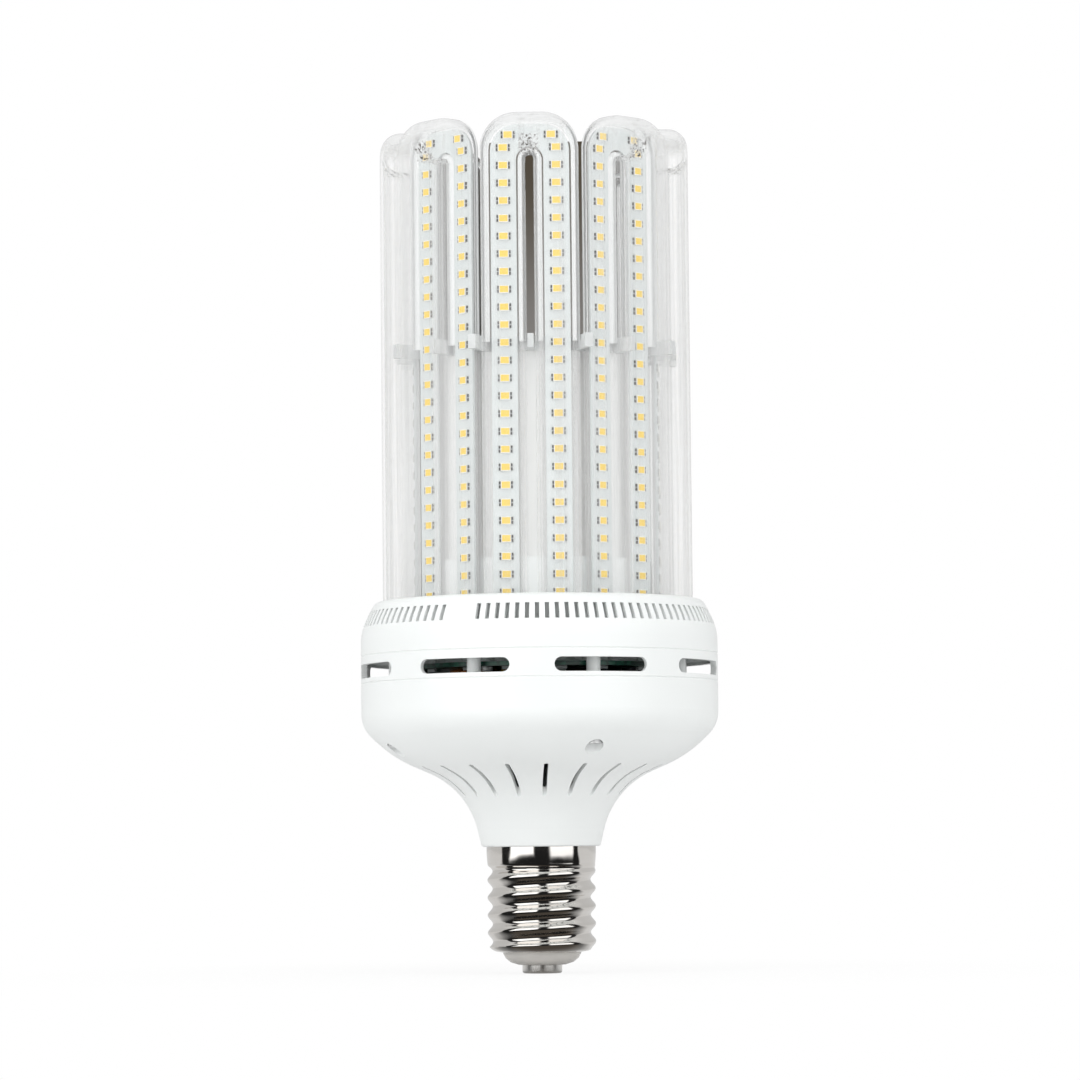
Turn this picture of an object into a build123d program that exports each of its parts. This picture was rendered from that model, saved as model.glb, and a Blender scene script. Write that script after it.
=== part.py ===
# LED U-tube lamp with a 40 mm Edison screw cap.
# The lamp stands cap down. The origin is the centre of the contact's end face, and +Z points up.
# One tube faces -Y. Lengths are in millimetres and angles in degrees.

import os
from math import cos, radians, sin, sqrt, tan

from build123d import *

os.makedirs("parts", exist_ok=True)

# Screw cap, measured up from the contact's end face
contact_radius = 7.2
contact_height = 3.1
contact_edge_radius = 0.8
contact_stem_radius = 1.6
contact_rivet_radius = 3.0
contact_rivet_height = 1.0
insulator_nose_radius = 8.6
insulator_throat_radius = 14.2
insulator_throat_height = 7.4
insulator_dome_radius = 9.0
insulator_flange_rise = 0.8
shell_wall = 0.6
shell_thread_radius = 19.6
shell_thread_length = 27.6
shell_shoulder_inset = 1.8
shell_shoulder_rise = 1.8
shell_collar_step = 0.2
shell_collar_length = 6.9

# Housing: bell, window ring and cover share one outer radius
housing_wall = 2.2
neck_margin = 1.7
neck_rim_radius = 1.0
neck_foot_height = 2.5
shell_seat_depth = 1.0
spigot_length = 6.2
spigot_wall = 1.7
flare_spread = 4.9
flare_rise = 20.8
flare_fillet = 30.0
shoulder_inset = 10.9
shoulder_rise = 12.0
shoulder_fillet = 46.0
belly_rise = 10.9
belly_height = 15.6
belly_fillet = 11.0
ring_height = 10.0
seam_chamfer = 0.3

# Slots in the flare of the neck
neck_slot_count = 20
neck_slot_first_angle = -85.0
neck_slot_inner_margin = 2.1
neck_slot_outer_margin = 8.4
neck_slot_width = 1.6

# Housing screws and the pillars that cross the windows
pillar_inset = 9.8
pillar_radius = 2.5
pillar_first_angle = -67.5
pillar_joint_drop = 2.0
screw_recess_radius = 3.25
screw_recess_drop = 21.0
screw_boss_wall = 1.5
screw_boss_floor = 2.0
screw_post_radius = 3.5
screw_shank_radius = 1.3
screw_head_radius = 2.8
screw_head_height = 2.4
screw_grip = 9.0

# Window ring
window_count = 8
window_angle = 31.0
window_height = 5.1
window_rise = 4.25
ledge_thickness = 1.6
ledge_width = 13.9
lip_wall = 1.6
lip_length = 2.0

# Top cover
cover_side_height = 9.2
cover_slope_height = 10.4
cover_slope_width = 5.2
cover_shoulder_fillet = 20.0
cover_rim_fillet = 3.0
deck_thickness = 2.2
socket_depth = 10.6
socket_floor_thickness = 1.5
socket_block_inset = 6.4
collar_margin = 0.4
collar_wall = 1.4
collar_height = 13.8
sleeve_ledge_width = 2.6
sleeve_ledge_thickness = 2.0
vent_pitch = 360 / 112
vent_blank_angle = -114.0
vents_left_out = 3
vent_width = 1.5
vent_drop = 3.6
vent_height = 5.6

# Clear tubes, each a U with an open back. Their width sets the size of the ring of tubes.
tube_count = 8
tube_first_angle = -90.0
tube_depth = 14.0
tube_gap = 1.948
tube_slot_width = 3.0
tube_rise = 171.7
tube_slot_crown_drop = 14.8
tube_corner_radius = 13.0
tube_front_flat = 1.6
tube_back_chamfer = 2.6
tube_wall = 1.2
tube_margin = 8.8
leg_half_width = 8.0

# Aluminium backs and LED boards
back_half_width = 3.6
back_thickness = 1.0
board_half_width = 4.6
board_thickness = 1.0
tail_half_width = 2.0
tail_reach = 1.0

# LEDs
led_width = 3.5
led_height = 2.8
led_thickness = 0.7
led_pitch = 6.35
led_first_drop = 11.9
led_last_rise = 5.0
led_crown_drop = 7.3
led_crown_inset = 1.8

# Spacer and sleeve
sleeve_wall = 1.2
spacer_rise = 87.4
spacer_height = 5.0
spacer_lip_length = 4.0
spacer_lip_wall = 1.5
gap_finger_inset = 1.5
gap_finger_width = 1.4
gap_finger_head_width = 3.0
gap_finger_head_length = 2.5
slit_finger_inset = 5.0
slit_finger_width = 2.2

# Driver board and what hangs from it
driver_board_inset = 13.3
driver_board_rise = 6.0
driver_board_thickness = 1.6
post_inset = 7.5
post_radius = 2.5
post_first_angle = -22.5
board_screw_radius = 1.0
board_screw_grip = 6.0
board_screw_head_radius = 2.0
board_screw_head_height = 1.4
lead_radius = 0.9

# Clearances
slide_clearance = 0.2
screw_clearance = 0.3
sleeve_clearance = 0.3
rim_clearance = 0.1

# Radii that follow from these: the ring of tubes first, then the housing round it
half_pitch = 180 / tube_count
leg_offset = leg_half_width + tube_slot_width / 2
half_side = leg_offset + leg_half_width + tube_gap / 2
tube_back_distance = half_side / tan(radians(half_pitch)) - tube_back_chamfer
tube_front_distance = tube_back_distance + tube_depth
tube_front_fillet = leg_half_width - tube_front_flat / 2
board_back_distance = tube_back_distance + back_thickness
board_front_distance = board_back_distance + board_thickness
housing_radius = tube_front_distance + tube_margin
ring_inner_radius = housing_radius - housing_wall
pillar_circle_radius = housing_radius - pillar_inset
ledge_inner_radius = housing_radius - ledge_width
driver_board_radius = housing_radius - driver_board_inset
post_circle_radius = driver_board_radius - post_inset
socket_block_radius = housing_radius - socket_block_inset
collar_radius = tube_back_distance - collar_margin
collar_bore_radius = collar_radius - collar_wall
sleeve_radius = collar_bore_radius - sleeve_clearance
shell_shoulder_radius = shell_thread_radius - shell_shoulder_inset
shell_collar_radius = shell_thread_radius + shell_collar_step
neck_radius = shell_collar_radius + neck_margin
flare_corner_radius = neck_radius + flare_spread
shoulder_corner_radius = housing_radius - shoulder_inset
neck_slot_inner_radius = flare_corner_radius + neck_slot_inner_margin
neck_slot_outer_radius = shoulder_corner_radius - neck_slot_outer_margin

# Heights that follow, from the cap up
shell_rim_height = insulator_throat_height + slide_clearance
shell_shoulder_height = shell_rim_height + shell_shoulder_rise
shell_thread_bottom = shell_shoulder_height + shell_shoulder_rise
shell_thread_top = shell_thread_bottom + shell_thread_length
insulator_top = shell_thread_bottom + insulator_flange_rise
neck_bottom = shell_thread_top + shell_collar_length
shell_top = neck_bottom + shell_seat_depth
flare_corner_height = neck_bottom + flare_rise
shoulder_corner_height = flare_corner_height + shoulder_rise
belly_corner_height = shoulder_corner_height + belly_rise
lower_seam = belly_corner_height + belly_height
screw_recess_height = lower_seam - screw_recess_drop
pillar_joint_height = lower_seam - pillar_joint_drop
window_middle = lower_seam + window_rise
ledge_top = lower_seam + ledge_thickness
driver_board_top = lower_seam + driver_board_rise
driver_board_bottom = driver_board_top - driver_board_thickness
upper_seam = lower_seam + ring_height
cover_shoulder_height = upper_seam + cover_side_height
deck_height = cover_shoulder_height + cover_slope_height
vent_top = deck_height - vent_drop
vent_bottom = vent_top - vent_height
socket_floor = deck_height - socket_depth
block_bottom = socket_floor - socket_floor_thickness
sleeve_ledge_top = block_bottom + sleeve_ledge_thickness
collar_top = deck_height + collar_height
spacer_bottom = deck_height + spacer_rise
tube_top = deck_height + tube_rise
tube_slot_crown = tube_top - tube_slot_crown_drop
led_crown_height = tube_top - led_crown_drop
led_first_height = tube_top - led_first_drop
leds_in_line = 1 + int((led_first_height - socket_floor - led_last_rise) / led_pitch)
tube_angles = [tube_first_angle + index * 360 / tube_count for index in range(tube_count)]


def facing_plane(angle, distance):
    """A plane that faces outwards, its x axis along the ring and its y axis upwards."""
    outward = Vector(cos(radians(angle)), sin(radians(angle)), 0)
    along = Vector(-sin(radians(angle)), cos(radians(angle)), 0)
    return Plane(origin=outward * distance, x_dir=along, z_dir=outward)


def u_shape(inset, bottom):
    """The U of a tube, drawn inwards by inset, with its legs cut off at bottom."""
    half_span = leg_offset + leg_half_width - inset
    slot_half_width = leg_offset - leg_half_width + inset
    top = tube_top - inset
    slot_centre = tube_slot_crown + inset - slot_half_width
    with BuildSketch(mode=Mode.PRIVATE) as shape:
        with Locations((0, (bottom + top) / 2)):
            Rectangle(2 * half_span, top - bottom)
        fillet(shape.vertices().group_by(Axis.Y)[-1], tube_corner_radius - inset)
        with Locations((0, (bottom + slot_centre) / 2)):
            Rectangle(2 * slot_half_width, slot_centre - bottom, mode=Mode.SUBTRACT)
        with Locations((0, slot_centre)):
            Circle(slot_half_width, mode=Mode.SUBTRACT)
    return shape.sketch


def leg_section(growth):
    """The outline of one leg of a tube, seen from above, with +X outwards and its front at x = 0."""
    with BuildSketch(mode=Mode.PRIVATE) as section:
        with Locations((-tube_depth / 2, 0)):
            Rectangle(tube_depth + 2 * growth, 2 * (leg_half_width + growth))
        fillet(section.vertices().group_by(Axis.X)[-1], tube_front_fillet + growth)
        chamfer(section.vertices().group_by(Axis.X)[0], tube_back_chamfer)
    return section.sketch


def above(edges, height):
    """The edges whose centre lies above a height."""
    return [edge for edge in edges if edge.center().Z > height]


def route_radii(points):
    """The largest tangent arcs that the runs of a lead allow."""
    radii = []
    for before, corner, after in zip(points, points[1:], points[2:]):
        run_in = Vector(*corner) - Vector(*before)
        run_out = Vector(*after) - Vector(*corner)
        turn = run_in.get_angle(run_out)
        radii.append(0.45 * min(run_in.length, run_out.length) / tan(radians(turn / 2)))
    return radii


def on_board(x, y):
    """A place on the driver board, given in shares of its radius."""
    return (x * driver_board_radius, y * driver_board_radius)


# Contact button, turned in one with its stem and riveted over inside the insulator
with BuildPart() as centre_contact:
    Cylinder(contact_radius, contact_height, align=(Align.CENTER, Align.CENTER, Align.MIN))
    fillet(centre_contact.edges().filter_by(GeomType.CIRCLE).group_by(Axis.Z)[0], contact_edge_radius)
    with BuildSketch(Plane.XY.offset(contact_height)):
        Circle(contact_stem_radius)
    extrude(amount=insulator_top - contact_height)
    with BuildSketch(Plane.XY.offset(insulator_top)):
        Circle(contact_rivet_radius)
    extrude(amount=contact_rivet_height)
centre_contact.part.label = "centre_contact"
export_step(centre_contact.part, "parts/centre_contact.step")

# Insulator, a moulded dome that fills the lower end of the shell
flange_radius = shell_shoulder_radius - shell_wall - slide_clearance
rim_inner_height = shell_rim_height + shell_wall
with BuildPart() as cap_insulator:
    with BuildSketch(Plane.XZ):
        with BuildLine():
            hole_radius = contact_stem_radius + rim_clearance
            Line((hole_radius, contact_height), (insulator_nose_radius, contact_height))
            RadiusArc(
                (insulator_nose_radius, contact_height),
                (insulator_throat_radius, insulator_throat_height),
                -insulator_dome_radius,
            )
            Polyline(
                (insulator_throat_radius, insulator_throat_height),
                (insulator_throat_radius, rim_inner_height + rim_clearance),
                (flange_radius, shell_shoulder_height + shell_wall + rim_clearance),
                (flange_radius, insulator_top),
                (hole_radius, insulator_top),
                (hole_radius, contact_height),
            )
        make_face()
    revolve(axis=Axis.Z)
cap_insulator.part.label = "cap_insulator"
export_step(cap_insulator.part, "parts/cap_insulator.step")

# Screw shell, rolled from sheet: a turned-in rim, the thread and a plain collar above it
rim_radius = insulator_throat_radius + slide_clearance
with BuildPart() as screw_shell:
    with BuildSketch(Plane.XZ):
        with BuildLine():
            Polyline(
                (rim_radius, shell_rim_height),
                (shell_shoulder_radius, shell_shoulder_height),
                (shell_thread_radius, shell_thread_bottom),
                (shell_thread_radius, shell_thread_top),
                (shell_collar_radius, shell_thread_top),
                (shell_collar_radius, shell_top),
                (shell_collar_radius - shell_wall, shell_top),
                (shell_collar_radius - shell_wall, shell_thread_top),
                (shell_thread_radius - shell_wall, shell_thread_top),
                (shell_thread_radius - shell_wall, shell_thread_bottom + shell_wall / 2),
                (shell_shoulder_radius - shell_wall / 2, shell_shoulder_height + shell_wall),
                (rim_radius, rim_inner_height),
                close=True,
            )
        make_face()
    revolve(axis=Axis.Z)
screw_shell.part.label = "screw_shell"
export_step(screw_shell.part, "parts/screw_shell.step")

# Outer form of the bell as one solid, from the neck to the lower seam
with BuildPart() as bell_form:
    with BuildSketch(Plane.XZ):
        with BuildLine():
            side = FilletPolyline(
                (neck_radius, neck_bottom),
                (flare_corner_radius, flare_corner_height),
                (shoulder_corner_radius, shoulder_corner_height),
                (housing_radius, belly_corner_height),
                (housing_radius, lower_seam),
                radius=[flare_fillet, shoulder_fillet, belly_fillet],
            )
            Polyline(side @ 1, (0, lower_seam), (0, neck_bottom), side @ 0)
        make_face()
    revolve(axis=Axis.Z)

# Bosses over the screw recesses, trimmed to the outside of the bell
with BuildPart() as screw_bosses:
    add(bell_form.part)
    with BuildSketch(Plane.XY.offset(neck_bottom)):
        with PolarLocations(pillar_circle_radius, 4, pillar_first_angle):
            Circle(screw_recess_radius + screw_boss_wall)
    extrude(amount=screw_recess_height + screw_boss_floor - neck_bottom, mode=Mode.INTERSECT)

# Lower housing, a moulded bell with a neck that takes the shell
spigot_radius = shell_collar_radius - shell_wall - slide_clearance
spigot_bottom = neck_bottom - spigot_length
with BuildPart() as lower_housing:
    add(bell_form.part)
    open_ends = lower_housing.faces().filter_by(GeomType.PLANE)
    offset(amount=-housing_wall, openings=open_ends)
    add(screw_bosses.part)
    with BuildSketch(Plane.XY.offset(screw_recess_height)):
        with PolarLocations(pillar_circle_radius, 4, pillar_first_angle):
            Circle(screw_post_radius)
    extrude(amount=pillar_joint_height - screw_recess_height)
    with BuildSketch(Plane.XY.offset(neck_bottom)):
        Circle(neck_radius - housing_wall / 2)
        Circle(spigot_radius - spigot_wall, mode=Mode.SUBTRACT)
    extrude(amount=neck_foot_height)
    with BuildSketch(Plane.XY.offset(spigot_bottom)):
        Circle(spigot_radius)
        Circle(spigot_radius - spigot_wall, mode=Mode.SUBTRACT)
    extrude(amount=spigot_length)
    with BuildSketch(Plane.XY.offset(neck_bottom)):
        Circle(shell_collar_radius + rim_clearance)
        Circle(spigot_radius, mode=Mode.SUBTRACT)
    extrude(amount=shell_seat_depth, mode=Mode.SUBTRACT)
    with BuildSketch(Plane.XY.offset(neck_bottom)):
        with PolarLocations(pillar_circle_radius, 4, pillar_first_angle):
            Circle(screw_recess_radius)
    extrude(amount=screw_recess_height - neck_bottom, mode=Mode.SUBTRACT)
    with BuildSketch(Plane.XY.offset(screw_recess_height)):
        with PolarLocations(pillar_circle_radius, 4, pillar_first_angle):
            Circle(screw_shank_radius + screw_clearance)
    extrude(amount=pillar_joint_height - screw_recess_height, mode=Mode.SUBTRACT)
    slot_length = neck_slot_outer_radius - neck_slot_inner_radius
    slot_middle = (neck_slot_outer_radius + neck_slot_inner_radius) / 2
    with BuildSketch(Plane.XY.offset(neck_bottom + neck_foot_height)):
        with PolarLocations(slot_middle, neck_slot_count, neck_slot_first_angle):
            SlotOverall(slot_length, neck_slot_width)
    extrude(amount=belly_corner_height - neck_bottom, mode=Mode.SUBTRACT)
    seam_edges = lower_housing.edges().filter_by(GeomType.CIRCLE).group_by(SortBy.RADIUS)[-1]
    chamfer(seam_edges.sort_by(Axis.Z)[-1], seam_chamfer)
    neck_edges = lower_housing.edges().filter_by(GeomType.CIRCLE).filter_by_position(
        Axis.Z, neck_bottom - rim_clearance, neck_bottom + rim_clearance
    )
    fillet(neck_edges.sort_by(SortBy.RADIUS)[-1], neck_rim_radius)
lower_housing.part.label = "lower_housing"
export_step(lower_housing.part, "parts/lower_housing.step")

# Housing screws, four pan heads sunk in the recesses
with BuildPart() as housing_screws:
    with BuildSketch(Plane.XY.offset(screw_recess_height)):
        with PolarLocations(pillar_circle_radius, 4, pillar_first_angle):
            Circle(screw_shank_radius)
    extrude(amount=pillar_joint_height + screw_grip - screw_recess_height)
    with BuildSketch(Plane.XY.offset(screw_recess_height - screw_head_height)):
        with PolarLocations(pillar_circle_radius, 4, pillar_first_angle):
            Circle(screw_head_radius)
    extrude(amount=screw_head_height)
housing_screws.part.label = "housing_screws"
export_step(housing_screws.part, "parts/housing_screws.step")

# Window ring, with a ledge inside below the windows and a lip into each neighbour
lip_radius = ring_inner_radius - slide_clearance
window_span = 2 * housing_radius * sin(radians(window_angle / 2))
with BuildPart() as window_ring:
    with BuildSketch(Plane.XZ):
        with BuildLine():
            Polyline(
                (housing_radius, lower_seam),
                (housing_radius, upper_seam),
                (lip_radius, upper_seam),
                (lip_radius, upper_seam + lip_length),
                (lip_radius - lip_wall, upper_seam + lip_length),
                (lip_radius - lip_wall, upper_seam - lip_length + lip_wall),
                (ring_inner_radius, upper_seam - lip_length),
                (ring_inner_radius, ledge_top),
                (ledge_inner_radius, ledge_top),
                (ledge_inner_radius, lower_seam),
                (lip_radius - lip_wall, lower_seam),
                (lip_radius - lip_wall, lower_seam - lip_length),
                (lip_radius, lower_seam - lip_length),
                (lip_radius, lower_seam),
                close=True,
            )
        make_face()
    revolve(axis=Axis.Z)
    outer_rims = window_ring.edges().filter_by(GeomType.CIRCLE).group_by(SortBy.RADIUS)[-1]
    chamfer(outer_rims, seam_chamfer)
    window_planes = [
        facing_plane(pillar_first_angle + index * 360 / window_count, housing_radius + housing_wall)
        for index in range(window_count)
    ]
    with BuildSketch(*window_planes):
        with Locations((0, window_middle)):
            SlotOverall(window_span, window_height)
    extrude(amount=-4 * housing_wall, mode=Mode.SUBTRACT)
    with BuildSketch(Plane.XY.offset(lower_seam)):
        with PolarLocations(pillar_circle_radius, 4, pillar_first_angle):
            Circle(pillar_radius + slide_clearance)
    extrude(amount=ledge_thickness, mode=Mode.SUBTRACT)
window_ring.part.label = "window_ring"
export_step(window_ring.part, "parts/window_ring.step")

# Top cover: shoulder, deck, socket block, collar, pillars and board posts, moulded in one
inner_wall_radius = housing_radius - housing_wall
inner_corner = (socket_block_radius + slide_clearance, deck_height - deck_thickness)
with BuildPart() as top_cover:
    with BuildSketch(Plane.XZ):
        with BuildLine():
            outside = FilletPolyline(
                (housing_radius, upper_seam),
                (housing_radius, cover_shoulder_height),
                (housing_radius - cover_slope_width, deck_height),
                (collar_radius, deck_height),
                radius=[cover_shoulder_fillet, cover_rim_fillet],
            )
            Polyline(
                outside @ 1,
                (collar_radius, collar_top),
                (collar_bore_radius, collar_top),
                (collar_bore_radius, sleeve_ledge_top),
                (collar_bore_radius - sleeve_ledge_width, sleeve_ledge_top),
                (collar_bore_radius - sleeve_ledge_width, block_bottom),
                (socket_block_radius, block_bottom),
                (socket_block_radius, inner_corner[1]),
                inner_corner,
                (inner_wall_radius, cover_shoulder_height),
                (inner_wall_radius, upper_seam),
                outside @ 0,
            )
        make_face()
    revolve(axis=Axis.Z)
    with BuildSketch(Plane.XY.offset(block_bottom)):
        with PolarLocations(pillar_circle_radius, window_count, pillar_first_angle):
            Circle(pillar_radius)
    extrude(amount=ledge_top - block_bottom)
    with BuildSketch(Plane.XY.offset(block_bottom)):
        with PolarLocations(pillar_circle_radius, 4, pillar_first_angle):
            Circle(pillar_radius)
    extrude(amount=pillar_joint_height - block_bottom)
    with BuildSketch(Plane.XY.offset(pillar_joint_height)):
        with PolarLocations(pillar_circle_radius, 4, pillar_first_angle):
            Circle(screw_shank_radius + rim_clearance)
    extrude(amount=screw_grip + tail_reach, mode=Mode.SUBTRACT)
    with BuildSketch(Plane.XY.offset(block_bottom)):
        with PolarLocations(post_circle_radius, 4, post_first_angle):
            Circle(post_radius)
    extrude(amount=driver_board_top - block_bottom)
    with BuildSketch(Plane.XY.offset(driver_board_top)):
        with PolarLocations(post_circle_radius, 4, post_first_angle):
            Circle(board_screw_radius + rim_clearance)
    extrude(amount=board_screw_grip + tail_reach, mode=Mode.SUBTRACT)
    socket_outline = leg_section(slide_clearance)
    with BuildSketch(Plane.XY.offset(socket_floor)):
        with PolarLocations(0, tube_count, tube_first_angle):
            with Locations((tube_front_distance, leg_offset), (tube_front_distance, -leg_offset)):
                add(socket_outline)
    extrude(amount=deck_height - socket_floor, mode=Mode.SUBTRACT)
    with BuildSketch(Plane.XY.offset(block_bottom)):
        with PolarLocations(0, tube_count, tube_first_angle):
            tail_middle = board_back_distance + board_thickness / 2
            with Locations((tail_middle, leg_offset), (tail_middle, -leg_offset)):
                Rectangle(
                    board_thickness + 2 * slide_clearance,
                    2 * (tail_half_width + slide_clearance),
                )
    extrude(amount=socket_floor_thickness, mode=Mode.SUBTRACT)
    vents_in_row = round(180 / vent_pitch) - vents_left_out
    vent_radius = (socket_block_radius + housing_radius) / 2 + housing_wall
    vent_length = 2 * (vent_radius - inner_corner[0])
    row_range = (vents_in_row - 1) * vent_pitch
    for blank_angle in (vent_blank_angle, vent_blank_angle + 180):
        first_vent = blank_angle + (vents_left_out + 1) / 2 * vent_pitch
        with BuildSketch(Plane.XY.offset(vent_bottom)):
            with PolarLocations(vent_radius, vents_in_row, first_vent, row_range, endpoint=True):
                Rectangle(vent_length, vent_width)
        extrude(amount=vent_top - vent_bottom, mode=Mode.SUBTRACT)
    outer_circles = top_cover.edges().filter_by(GeomType.CIRCLE).group_by(SortBy.RADIUS)[-1]
    chamfer(outer_circles.sort_by(Axis.Z)[0], seam_chamfer)
top_cover.part.label = "top_cover"
export_step(top_cover.part, "parts/top_cover.step")

# Air sleeve, a plain tube that stands on the ledge in the collar
with BuildPart() as air_sleeve:
    with BuildSketch(Plane.XY.offset(sleeve_ledge_top)):
        Circle(sleeve_radius)
        Circle(sleeve_radius - sleeve_wall, mode=Mode.SUBTRACT)
    extrude(amount=spacer_bottom - sleeve_ledge_top)
air_sleeve.part.label = "air_sleeve"
export_step(air_sleeve.part, "parts/air_sleeve.step")

# Spacer: a ring on top of the sleeve, with a lip inside it and fingers between the legs
spacer_bore_radius = sleeve_radius - sleeve_wall - slide_clearance - spacer_lip_wall
gap_finger_reach = tube_front_distance - gap_finger_inset
slit_finger_reach = tube_front_distance - slit_finger_inset
with BuildPart() as tube_spacer:
    with BuildSketch(Plane.XY.offset(spacer_bottom)):
        with PolarLocations(0, tube_count, tube_first_angle):
            with Locations((slit_finger_reach / 2, 0)):
                Rectangle(slit_finger_reach, slit_finger_width)
        with PolarLocations(0, tube_count, tube_first_angle + half_pitch):
            with Locations((gap_finger_reach / 2, 0)):
                Rectangle(gap_finger_reach, gap_finger_width)
            with Locations((gap_finger_reach - gap_finger_head_length / 2, 0)):
                Rectangle(gap_finger_head_length, gap_finger_head_width)
        Circle(collar_radius)
        Circle(spacer_bore_radius, mode=Mode.SUBTRACT)
    extrude(amount=spacer_height)
    with BuildSketch(Plane.XY.offset(spacer_bottom)):
        Circle(spacer_bore_radius + spacer_lip_wall)
        Circle(spacer_bore_radius, mode=Mode.SUBTRACT)
    extrude(amount=-spacer_lip_length)
tube_spacer.part.label = "tube_spacer"
export_step(tube_spacer.part, "parts/tube_spacer.step")

# Tubes: each is a clear cover, an aluminium back, a U-shaped board and its LEDs
cover_outline = u_shape(0, socket_floor)
cavity_outline = u_shape(tube_wall, socket_floor)
back_outline = u_shape(leg_half_width - back_half_width, socket_floor)
board_outline = u_shape(leg_half_width - board_half_width, socket_floor)
cavity_chamfer = tube_back_chamfer + tube_wall * (sqrt(2) - 1)
led_crown_offset = leg_offset - led_crown_inset
led_places = [(side * led_crown_offset, led_crown_height) for side in (-1, 1)] + [
    (side * leg_offset, led_first_height - index * led_pitch)
    for side in (-1, 1)
    for index in range(leds_in_line)
]
for number, angle in enumerate(tube_angles, start=1):
    outward = Axis((0, 0, 0), (cos(radians(angle)), sin(radians(angle)), 0))

    # Clear cavity of the cover, its edges drawn parallel to those outside
    with BuildPart() as tube_cavity:
        with BuildSketch(facing_plane(angle, tube_back_distance)):
            add(cavity_outline)
        extrude(amount=tube_depth - tube_wall)
        front_face = tube_cavity.faces().sort_by(outward)[-1]
        fillet(above(front_face.edges(), socket_floor + tube_wall), tube_front_fillet - tube_wall)
        back_face = tube_cavity.faces().sort_by(outward)[0]
        chamfer(above(back_face.edges(), socket_floor + tube_wall), cavity_chamfer)

    with BuildPart() as tube_cover:
        with BuildSketch(facing_plane(angle, tube_back_distance)):
            add(cover_outline)
        extrude(amount=tube_depth)
        front_face = tube_cover.faces().sort_by(outward)[-1]
        fillet(above(front_face.edges(), socket_floor + tube_wall), tube_front_fillet)
        back_face = tube_cover.faces().sort_by(outward)[0]
        chamfer(above(back_face.edges(), socket_floor + tube_wall), tube_back_chamfer)
        add(tube_cavity.part, mode=Mode.SUBTRACT)
    tube_cover.part.label = f"tube_cover_{number}"
    export_step(tube_cover.part, f"parts/tube_cover_{number}.step")

    with BuildPart() as tube_back:
        with BuildSketch(facing_plane(angle, tube_back_distance)):
            add(back_outline)
        extrude(amount=back_thickness)
    tube_back.part.label = f"tube_back_{number}"
    export_step(tube_back.part, f"parts/tube_back_{number}.step")

    tail_bottom = driver_board_bottom - tail_reach
    with BuildPart() as led_board:
        with BuildSketch(facing_plane(angle, board_back_distance)):
            add(board_outline)
            tail_height = (socket_floor + tail_bottom) / 2
            with Locations((-leg_offset, tail_height), (leg_offset, tail_height)):
                Rectangle(2 * tail_half_width, socket_floor - tail_bottom)
        extrude(amount=board_thickness)
    led_board.part.label = f"led_board_{number}"
    export_step(led_board.part, f"parts/led_board_{number}.step")

    with BuildPart() as leds:
        with BuildSketch(facing_plane(angle, board_front_distance)):
            with Locations(*led_places):
                Rectangle(led_width, led_height)
        extrude(amount=led_thickness)
    leds.part.label = f"leds_{number}"
    export_step(leds.part, f"parts/leds_{number}.step")

# Driver board, a round circuit board with slots for the tails of the LED boards
with BuildPart() as driver_board:
    with BuildSketch(Plane.XY.offset(driver_board_bottom)):
        Circle(driver_board_radius)
        with PolarLocations(0, tube_count, tube_first_angle):
            with Locations((tail_middle, leg_offset), (tail_middle, -leg_offset)):
                Rectangle(
                    board_thickness + 2 * slide_clearance,
                    2 * (tail_half_width + slide_clearance),
                    mode=Mode.SUBTRACT,
                )
        with PolarLocations(post_circle_radius, 4, post_first_angle):
            Circle(board_screw_radius + screw_clearance, mode=Mode.SUBTRACT)
    extrude(amount=driver_board_thickness)
driver_board.part.label = "driver_board"
export_step(driver_board.part, "parts/driver_board.step")

with BuildPart() as board_screws:
    with BuildSketch(Plane.XY.offset(driver_board_bottom)):
        with PolarLocations(post_circle_radius, 4, post_first_angle):
            Circle(board_screw_radius)
    extrude(amount=driver_board_thickness + board_screw_grip)
    with BuildSketch(Plane.XY.offset(driver_board_bottom)):
        with PolarLocations(post_circle_radius, 4, post_first_angle):
            Circle(board_screw_head_radius)
    extrude(amount=-board_screw_head_height)
board_screws.part.label = "board_screws"
export_step(board_screws.part, "parts/board_screws.step")

# Transformer, a ferrite core with its winding between the limbs
transformer_place = on_board(-0.33, 0.272)
transformer_core = (26.0, 12.0, 24.0)
winding_radius = 9.5
winding_height = 16.0
with BuildPart() as transformer:
    with BuildSketch(Plane.XY.offset(driver_board_bottom)):
        with Locations(transformer_place):
            Rectangle(transformer_core[0], transformer_core[1])
    extrude(amount=-transformer_core[2])
    with BuildSketch(Plane.XY.offset(driver_board_bottom - (transformer_core[2] - winding_height) / 2)):
        with Locations(transformer_place):
            Circle(winding_radius)
    extrude(amount=-winding_height)
transformer.part.label = "transformer"
export_step(transformer.part, "parts/transformer.step")

# Main capacitors, two aluminium cans with a crimp near the base
capacitor_places = [on_board(0.272, 0.311), on_board(0.427, -0.058)]
capacitor_radius = 9.0
capacitor_height = 30.0
crimp_height = 3.0
crimp_width = 1.2
crimp_depth = 0.6
with BuildPart() as main_capacitors:
    with BuildSketch(Plane.XY.offset(driver_board_bottom)):
        with Locations(*capacitor_places):
            Circle(capacitor_radius)
    extrude(amount=-capacitor_height)
    with BuildSketch(Plane.XY.offset(driver_board_bottom - crimp_height)):
        with Locations(*capacitor_places):
            Circle(capacitor_radius)
            Circle(capacitor_radius - crimp_depth, mode=Mode.SUBTRACT)
    extrude(amount=-crimp_width, mode=Mode.SUBTRACT)
main_capacitors.part.label = "main_capacitors"
export_step(main_capacitors.part, "parts/main_capacitors.step")

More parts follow.
